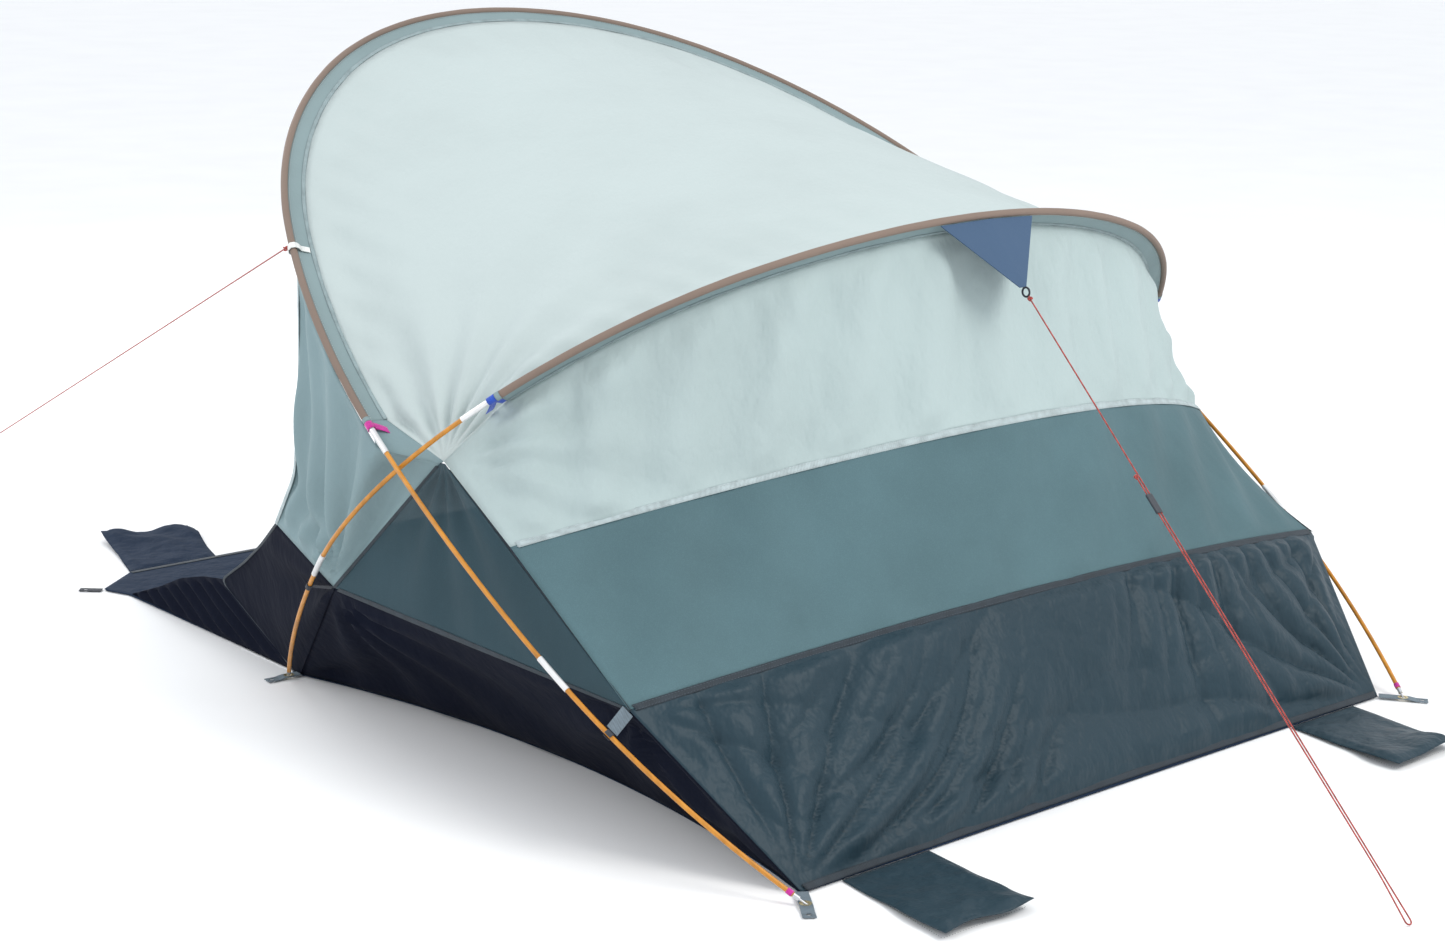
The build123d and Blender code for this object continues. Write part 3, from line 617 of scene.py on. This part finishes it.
def add_back_wall():
    upper = ruled(REAR_SEAM, UPPER_SEAM, 33)
    height = 0.011 * along_columns(upper, 13, 11, 0.05) + 0.008 * rough(upper, 4.0, 12, (1, 1, 0.4))
    height += 0.007 * creased(upper, 8.0, 18, (1.4, 1, 0.3))
    height += 0.006 * along_columns(upper, 41, 13) * np.exp(-np.linspace(0, 6, len(upper)))[:, None]
    for side in (1, -1):
        height += 0.010 * fan(upper, metres(CROSSING) * (side, 1, 1), 14, 0.4, 14 + side)
    cloth("back_wall_upper", upper, fade(upper.shape, (0.2, 0.12)) * height, "wall_cloth",
          "back_wall_upper")

    window = ruled(UPPER_SEAM, LOWER_SEAM, 29)
    draw_in(window, window_bow(np.linspace(0, 1, len(window))))
    height = 0.006 * along_columns(window, 9, 21, 0.1) + 0.004 * rough(window, 5.0, 22, (1, 1, 0.5))
    cloth("back_window", window, fade(window.shape) * height, "mesh", "back_window")

    lower = ruled(line(LOWER_SEAM, 2 * FINE), line(HEM, 2 * FINE), 61)
    across = np.linspace(0, 1, 2 * FINE)[None, :]
    leaning = across + 0.5 * (0.7 - across) * np.linspace(0, 1, len(lower))[:, None]
    patches = np.clip(0.55 + 1.3 * rough(lower, 2.3, 38), 0, 1.2) * np.clip(1.6 * np.sin(pi * across), 0, 1)
    height = 0.010 * rough(lower, 3.0, 31) + 0.0025 * creased(lower, 9.0, 39, (0.6, 0.6, 1.5)) * patches
    for folds, depth, seed in ((13, 0.013, 32), (29, 0.005, 34)):
        height += depth * patches * pleated(np.sin(pi * folds * leaning + 2.0 * rough(lower, 2.0, seed)))
    for side in (1, -1):
        height += 0.014 * fan(lower, metres(BACK_CORNER) * (side, 1, 1), 9, 1.1, 33 + side, 0.7, pleated)
        height += 0.006 * fan(lower, metres(REAR_TIE) * (side, 1, 1), 8, 0.6, 36 + side, 0.7, pleated)
    cloth("back_wall_lower", lower, fade(lower.shape, (0.08, 0.14), (0.05, 0.05)) * height, "slate_cloth",
          "back_wall_lower")


def side_hem(count):
    t = np.linspace(0, 1, count)[:, None]
    straight = metres(FRONT_CORNER) * (1 - t) + metres(BACK_CORNER) * t
    return straight - np.array([[4 * SIDE_BOW / 1000, 0, 0]]) * t * (1 - t)


def add_side(side, word):
    """The panels of one side; side is 1 for the right and -1 for the left."""
    flip = (side, 1, 1)
    crossing, front_tie, rear_tie = metres(CROSSING), metres(FRONT_TIE), metres(REAR_TIE)
    seam = line([front_tie, rear_tie], 61)
    tip = line([crossing + offset((2, -7, -4)), crossing + offset((0, 3, -4))], 61)
    window = ruled(tip, seam, 41) * flip
    if side < 0:
        above = (CROSSING[2] - WALL_SEAM[2]) / (CROSSING[2] - REAR_TIE[2])
        draw_in(window, window_bow((np.linspace(0, 1, len(window)) - above) / (1 - above)))
    height = 0.005 * rough(window, 5.0, 41) + 0.008 * fan(window, crossing * flip, 12, 0.3, 42)
    cloth(f"side_window_{word}", window, fade(window.shape, (0.08, 0.08), (0.1, 0.1)) * height, "side_mesh",
          f"side_window_{word}")

    lower = ruled(seam, side_hem(61), 31) * flip
    height = 0.007 * rough(lower, 3.5, 43)
    for corner, folds, seed in ((FRONT_TIE, 11, 44), (REAR_TIE, 11, 45), (FRONT_CORNER, 9, 46),
                                (BACK_CORNER, 9, 47)):
        height += 0.013 * fan(lower, metres(corner) * flip, folds, 0.4, seed)
    # navy_cloth: dark navy cloth with painted shade that takes it to near-black
    cloth(f"side_lower_{word}", lower, fade(lower.shape, (0.1, 0.08), (0.06, 0.06)) * height, "navy_cloth",
          f"side_lower_{word}")

    run = [FRONT.point(s, 0, WING_BESIDE_POLE) for s in np.linspace(WING_FROM, WING_TO, 40)]
    top = line([crossing + offset((0, -8, -4)), *run], 61)
    edge = smooth_line([top[-1], *[metres(p) for p in WING_EDGE]], 45)
    back = line([crossing + offset((1, -10, -6)), front_tie], 45)
    hem = line([front_tie + offset((2, -8, 0)), metres(WING_EDGE[-1])], 61)
    upper = coons(top, hem, back, edge) * flip
    height = 0.008 * along_columns(upper, 4, 51, 0.2) + 0.005 * rough(upper, 5.0, 52)
    height += 0.012 * fan(upper, front_tie * flip, 12, 0.35, 53)
    # wing_cloth carries painted shade: the roof's fabric made darker because the wing is in shadow
    cloth(f"wing_upper_{word}", upper, fade(upper.shape, (0.1, 0.1), (0.08, 0.03)) * height, "wing_cloth",
          f"wing_upper_{word}")

    lap = offset((1.2, -5, -5))
    near = [top[0] + lap, FRONT.point(WING_FROM, 0, WING_BESIDE_POLE) + lap,
            FRONT.point(FRONT_SLEEVE_START, SLEEVE_R)]
    far = [crossing, FRONT.point(FRONT_SLEEVE_START, FLANGE)]
    corner_piece = ruled(line(far, 25), line(near, 25), 9) * flip
    # The corner piece is also wing_cloth, with the same painted shade
    cloth(f"wing_corner_{word}", corner_piece, np.zeros(corner_piece.shape[:2]), "wing_cloth",
          f"wing_upper_{word}")

    corner = metres(FRONT_CORNER)
    front = [metres(p) for p in WING_LOWER_EDGE] + [corner + offset((0, -22, 0))]
    back = line([front_tie + offset((1.5, 4, 0)), corner + offset((1.5, 4, 0))], 41)
    top = line([front_tie + offset((0, -2, -1)), metres(WING_EDGE[-1]) + offset((0, 0, -1))], 41)
    free = smooth_line([top[-1], *front], 41)
    lower = coons(top, line([back[-1], free[-1]], 41), back, free) * flip
    height = 0.006 * rough(lower, 5.0, 55) + 0.014 * fan(lower, front_tie * flip, 11, 0.35, 56)
    # navy_cloth: dark navy cloth with painted shade that takes it to near-black
    cloth(f"wing_lower_{word}", lower, fade(lower.shape, (0.1, 0.1), (0.06, 0.06)) * height, "navy_cloth",
          f"wing_lower_{word}")

    crest = smooth_line([metres(p) for p in SIDE_CREST], 61)
    ground = line([metres(p) for p in SIDE_GROUND], 61)
    skirt = ruled(crest, ground, 17) * flip
    height = 0.010 * rough(skirt, 5.0, 61) + 0.006 * along_columns(skirt, 9, 62)
    # navy_cloth: dark navy cloth with painted shade that takes it to near-black
    piece = cloth(f"apron_side_{word}", skirt, fade(skirt.shape, (0.15, 0.2)) * height, "navy_cloth",
                  f"apron_side_{word}", None)
    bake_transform(piece)
    trims(side, word, upper, window, lower)


def trims(side, word, wing, window, wing_lower):
    """Bindings and stitching along the side panels' free edges and seams."""
    free = wing[:, -1]
    ribbon(f"wing_binding_{word}", free, wing[:, -1] - wing[:, -3], 0.012, "seam_light", lift=0.0009)
    stitches(f"wing_stitches_{word}", free, normals(wing)[:, -1])
    for name, edge, inner in (("window_rear", window[:, -1], window[:, -4]),
                              ("window_front", window[:, 0], window[:, 3]),
                              ("window_sill", window[-1], window[-4])):
        ribbon(f"{name}_tape_{word}", edge[1:], (edge - inner)[1:], 0.010, "seam_dark", lift=0.001)
    ribbon(f"wing_hem_{word}", wing[-1], wing[-1] - wing[-3], 0.010, "seam_dark", lift=0.001)
    ribbon(f"lower_wing_binding_{word}", wing_lower[:, -1], wing_lower[:, -1] - wing_lower[:, -3], 0.010,
           "seam_dark", lift=0.001)


def add_wall_seams():
    seams = [("upper_wall_seam", UPPER_SEAM, LOWER_SEAM, "seam_light", "thread"),
             ("lower_wall_seam", LOWER_SEAM, HEM, "seam_dark", "dark_thread"),
             ("back_hem", HEM + (0, 0, SEAM_TAPE / 2), LOWER_SEAM, "seam_dark", "dark_thread")]
    for name, seam, below, tape, thread in seams:
        down = below - seam
        outward = np.cross(np.gradient(seam, axis=0), down)
        outward /= -np.linalg.norm(outward, axis=1, keepdims=True)
        inner = slice(1, -1)
        ribbon(name, (seam + outward * 0.0016)[inner], down[inner], SEAM_TAPE, tape)
        unit = down / np.linalg.norm(down, axis=1, keepdims=True)
        for shift in (-0.004, 0.004):
            row = seam + outward * 0.0022 + unit * shift
            stitches(f"{name}_stitches_{'high' if shift < 0 else 'low'}", row[inner], outward[inner], thread)


def add_sleeve(arch, start, name, folds):
    """Tunnel of cloth round the pole, its standing flange and the taped seam at the roof."""
    stations = np.arange(start, arch.length - start + 1, SLEEVE_STEP)
    turn = np.linspace(0, 2 * pi, 16, endpoint=False)
    slack = np.array([0.35 * noise.noise(Vector((s * 0.02, a, folds))) for s in stations for a in turn])
    radii = SLEEVE_R + slack.reshape(len(stations), -1)
    tube = [[arch.point(s, r * cos(a), r * sin(a)) for a, r in zip(turn, row)]
            for s, row in zip(stations, radii)]
    tube_faces = grid_faces(len(stations), len(turn), closed=True)
    piece = mesh_object(f"{name}_tube", np.reshape(tube, (-1, 3)), tube_faces, "sleeve_tube")
    thicken(piece, 0.0007)
    lanes = np.linspace(SLEEVE_R - 0.6, FLANGE, 8)
    waves = [1.6 * noise.noise(Vector((s * 0.012, folds, 0))) + 0.8 * sin(s / 26.0) for s in stations]
    belly = 1 - (2 * np.arange(len(lanes)) / (len(lanes) - 1) - 1) ** 2
    fin = np.array([[arch.point(s, lane, wave * share) for lane, share in zip(lanes, belly)]
                    for s, wave in zip(stations, waves)])
    # The flange's sleeve_cloth is the roof's fabric with painted shade in its colour
    flange = mesh_object(f"{name}_fin", fin.reshape(-1, 3), grid_faces(len(stations), len(lanes)),
                         "sleeve_cloth")
    thicken(flange, 0.0018)
    length = (arch.length - 2 * start) / 1000
    round_the_pole, fin_width = 2 * pi * SLEEVE_R / 1000, FLANGE / 1000 - 0.008
    for part, size in ((piece, (round_the_pole, length)), (flange, (fin_width, length))):
        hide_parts(name)
        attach(part, "shelter")
    normal = arch.point(0, 0, 1) - arch.point(0, 0, 0)
    for face, word in ((1, "outer"), (-1, "inner")):
        row = np.array([arch.point(s, SLEEVE_R + 3, face * 1.3) for s in stations])
        stitches(f"{name}_stitches_{word}", row, normal * face)
    edge = np.array([arch.point(s, FLANGE - 2.0, 0) for s in stations])
    ribbon(f"{name}_seam_outer", edge + normal * 1.8, fin[:, -1] - fin[:, -2], 0.008, "seam_grey")
    ribbon(f"{name}_seam_inner", edge - normal * 1.8, fin[:, -1] - fin[:, -2], 0.008, "seam_grey")
    for at, word in ((0, "right"), (-1, "left")):
        ring = ring_round(arch, stations[at], SLEEVE_R + 0.9)
        ahead = arch.point(stations[at] + 4) - arch.point(stations[at] - 4)
        # The end rings use the same sleeve_cloth, painted darker as shade
        ribbon(f"{name}_end_{word}", ring, ahead, 0.010, "sleeve_cloth", thickness=0.0007)


def ring_round(arch, s, radius):
    return np.array([arch.point(s, radius * cos(a), radius * sin(a)) for a in np.linspace(0, 2 * pi, 25)])


def add_tapes(arch, start, node, material, spread):
    """Coloured tape at each end of a sleeve: a turn round the pole and two tails sewn to the roof."""
    for side, word in ((1, "right"), (-1, "left")):
        s = start - TAPE_BEFORE_SLEEVE
        flip = (side, 1, 1)
        ahead = arch.point(s + 4) - arch.point(s - 4)
        ring = ring_round(arch, s, 7.4)
        pieces = [ribbon(f"{node}_turn_{word}", ring * flip, ahead * flip, TAPE_WIDTH, material)]
        for k, shift in enumerate(spread):
            seam = arch.point(s + shift, FLANGE)
            first = arch.point(s, 7.5 if k else 7.0, 2.0 - 4 * k)
            fall = line([first, seam + (first - seam) * 0.06], 14)
            curl = np.sin(np.linspace(0, pi, 14))[:, None] * (arch.point(s, 0, 1.2) - arch.point(s))
            tail = (fall + curl * (1 - 2 * k)) * flip
            pieces.append(ribbon(f"{node}_tail_{k + 1}_{word}", tail, ahead * flip, TAPE_WIDTH, material))
        for piece in pieces:
            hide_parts(node)


# On the ground -------------------------------------------------------------------------------------
def ground_grid(back_y, front_y, half_width, rows, columns):
    """Flat grid from back_y to front_y; half_width gives its half width at each place between them."""
    y = np.linspace(back_y, front_y, rows)
    grid = np.zeros((rows, columns, 3))
    for i, row_y in enumerate(y):
        half = half_width(row_y)
        grid[i, :, 0] = np.linspace(half, -half, columns)
        grid[i, :, 1] = row_y + TO_ORIGIN_Y
    grid[..., 2] = GROUND_CLOTH_Z
    return grid / 1000


def floor_half_width(y):
    t = (y - FRONT_CORNER[1]) / (BACK_CORNER[1] - FRONT_CORNER[1])
    edge = FRONT_CORNER[0] + (BACK_CORNER[0] - FRONT_CORNER[0]) * t
    return edge - 4 * SIDE_BOW * max(0.0, t * (1 - t)) + 2


def apron_half_width(y):
    return float(np.interp(-y, [-APRON_HINGE_Y, -APRON_CORNER_Y, -APRON_LOOP[1], -APRON_FRONT_Y],
                           [APRON_EDGE_X + 16, APRON_EDGE_X + 12, APRON_LOOP[0], APRON_FRONT_X]))


def laid_cloth(name, grid, lift, body):
    """Cloth that lies on the ground, with low creases that only rise."""
    rises = np.zeros(grid.shape)
    rises[..., 2] = lift
    no_height = np.zeros(grid.shape[:2])
    return cloth(name, grid + rises, no_height, "floor_cloth", name, body)


def add_ground_cloth():
    floor = ground_grid(BACK_CORNER[1], APRON_HINGE_Y, floor_half_width, 61, 81)
    lift = 0.006 * np.clip(rough(floor, 4.0, 71), 0, 1) * fade(floor.shape)
    laid_cloth("floor", floor, lift, "shelter")
    apron = ground_grid(APRON_HINGE_Y, APRON_FRONT_Y, apron_half_width, 61, 111)
    ripples = np.clip(rough(apron, 3.2, 72, (1.6, 0.7, 1)) + 0.5 * rough(apron, 9.0, 73, (1.3, 0.6, 1)), 0, 1)
    laid_cloth("apron", apron, 0.016 * ripples * fade(apron.shape, (0.06, 0.4), (0.03, 0.03)), "apron")
    front = apron[-1] + (0, 0.006, 0.0012)
    ribbon("apron_front_hem", front, (0, 1, 0), 0.016, "seam_dark", body="apron")
    stitches("apron_front_stitches", front + (0, 0.004, 0.0008), (0, 0, 1), "dark_thread", body="apron")


def add_pocket(node, body, inner, width, length, skew, edge_y, outwards, side):
    """Empty sand pocket: two layers with a flat seam round them and creases between."""
    near, far = edge_y + outwards * 4, edge_y + outwards * (8 + length)
    corners = [metres(p) for p in ((inner, near, 0), (inner + width, near, 0), (inner + skew, far, 0),
                                   (inner + width + skew, far, 0))]
    a, b, c, d = (corner * (side, 1, 1) for corner in corners)
    n = 45
    v, u = np.linspace(0, 1, n)[:, None, None], np.linspace(0, 1, n)[None, :, None]
    base = (a * (1 - u) + b * u) * (1 - v) + (c * (1 - u) + d * u) * v
    base[..., 0] += 0.022 * v[..., 0] * rough(base, 9.0, 85 + side)
    base[..., 1] += 0.020 * v[..., 0] * rough(base, 8.0, 87 + side)
    body_of_cloth = fade((n, n), (0.07, 0.07), (0.09, 0.09))
    top = base.copy()
    creases = 0.5 + 0.5 * creased(base, 6.0, 81, (1.4, 0.8, 1)) + 0.5 * creased(base, 13.0, 82)
    far_edge = (v[..., 0] ** 1.5) * np.clip(0.3 + rough(base, 9.0, 83 + side), 0, 1)
    lying = v[..., 0]
    curl = 0.016 * lying * np.clip(0.3 + creased(base, 5.0, 84 + side), 0, 1) + 0.014 * far_edge
    fullness = 0.0015 + 0.0110 * np.clip(creases, 0, 1.3)
    top[..., 2] = 0.0017 + curl + body_of_cloth * fullness * (0.3 + 0.7 * lying)
    under = base.copy()
    under[..., 2] = 0.0006 + curl
    verts = np.concatenate([top.reshape(-1, 3), under.reshape(-1, 3)])
    faces = grid_faces(n, n)
    faces += [tuple(n * n + k for k in reversed(face)) for face in grid_faces(n, n)]
    rim = [*range(n), *(i * n + n - 1 for i in range(1, n)), *((n - 1) * n + j for j in range(n - 2, -1, -1)),
           *(i * n for i in range(n - 2, 0, -1))]
    faces += [(p, n * n + p, n * n + q, q) for p, q in zip(rim, rim[1:] + rim[:1])]
    piece = mesh_object(f"{node}_cloth", verts, faces, "slate_cloth" if outwards > 0 else "floor_cloth")
    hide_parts(node)
    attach(piece, body)
    middle = (a + b + c + d) / 4
    border = [corner + (middle - corner) * 0.05 + (0, 0, 0.0024) for corner in (a, b, d, c, a)]
    stitches(f"{node}_stitches", line(border, 160), (0, 0, 1), "dark_thread", body=body)


def add_flaps():
    for side, word in ((1, "right"), (-1, "left")):
        add_pocket(f"front_sand_flap_{word}", f"front_flap_{word}", *FRONT_POCKET, APRON_FRONT_Y, -1, side)
    add_pocket("rear_sand_flap_right", "rear_flap_right", *REAR_POCKET_RIGHT, BACK_CORNER[1], 1, 1)
    add_pocket("rear_sand_flap_left", "rear_flap_left", *REAR_POCKET_LEFT, BACK_CORNER[1], 1, 1)


# Guy lines -----------------------------------------------------------------------------------------
REAR_GUY = [(0.0024, 0.9397, 0.9066), (0.1321, 1.9590, 0.0149), (0.1340, 1.9740, 0.0018),
            (0.1479, 1.9722, 0.0018), (0.1444, 1.9575, 0.0149), (0.1314, 1.9020, 0.0641),
            (0.1276, 1.8720, 0.0903), (0.0498, 1.2610, 0.6248)]
FRONT_GUY = [(0.9620, -0.1700, 0.9429), (0.9006, -2.1948, 0.0102), (0.9000, -2.2130, 0.0018),
             (0.8860, -2.2126, 0.0018), (0.8862, -2.1945, 0.0102), (0.8870, -2.1130, 0.0480)]


def cord_curve(name, points, diameter, material, cyclic=False):
    data = bpy.data.curves.new(name, "CURVE")
    data.dimensions = "3D"
    data.bevel_depth, data.bevel_resolution = diameter / 2, 4
    data.resolution_u = 12
    data.use_fill_caps = True
    spline = data.splines.new("NURBS")
    spline.points.add(len(points) - 1)
    for target, point in zip(spline.points, points):
        target.co = (*point, 1)
    spline.order_u = 3
    spline.use_endpoint_u = not cyclic
    spline.use_cyclic_u = cyclic
    data.materials.append(MATERIALS[material])
    made = bpy.data.objects.new(name, data)
    bpy.context.collection.objects.link(made)
    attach(made, "shelter")
    return made


def knot(name, middle, direction, size, material="guy_cord"):
    """An overhand knot pulled tight: a small trefoil of the same cord with its two layers close."""
    ahead = Vector(direction).normalized()
    frame_turn = ahead.to_track_quat("Z", "Y").to_matrix()
    points = []
    for k in range(18):
        t = 2 * pi * k / 18
        local = Vector(((sin(t) + 2 * sin(2 * t)) / 3, (cos(t) - 2 * cos(2 * t)) / 3, -0.75 * sin(3 * t)))
        points.append(Vector(middle) + frame_turn @ (local * size))
    return cord_curve(name, points, CORD_D, material, cyclic=True)


def add_guys():
    down = Vector(REAR_GUY[1]) - Vector(REAR_GUY[0])
    down.normalize()
    rear = cord_curve("rear_guy", REAR_GUY, CORD_D, "guy_cord")
    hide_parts("rear_guy_line")
    ring_knot = knot("rear_guy_knot", Vector(REAR_GUY[0]) + down * 0.004, down, 0.0045)
    tail_knot = knot("rear_guy_tail_knot", Vector(REAR_GUY[-1]) + down * 0.004, down, 0.0042)
    front = cord_curve("front_guy", FRONT_GUY, CORD_D, "guy_cord")
    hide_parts("front_guy_line")
    away = Vector(FRONT_GUY[1]) - Vector(FRONT_GUY[0])
    away.normalize()
    top_knot = knot("front_guy_knot", Vector(FRONT_GUY[0]) + away * 0.004, away, 0.0045)
    end_knot = knot("front_guy_end_knot", Vector(FRONT_GUY[-1]) + away * 0.004, away, 0.0042)


# Put it together -----------------------------------------------------------------------------------
add_camera()
add_guys()
add_studio()
finish_cad_nodes()
add_roof()
add_back_wall()
for side, word in ((1, "right"), (-1, "left")):
    add_side(side, word)
add_wall_seams()
add_sleeve(FRONT, FRONT_SLEEVE_START, "front_sleeve", 3.0)
add_sleeve(REAR, REAR_SLEEVE_START, "rear_sleeve", 7.0)
add_tapes(FRONT, FRONT_SLEEVE_START, "front_sleeve_tapes", "magenta_tape", (-22, 8))
add_tapes(REAR, REAR_SLEEVE_START, "rear_sleeve_tapes", "blue_tape", (-30, 12))
add_ground_cloth()
add_flaps()
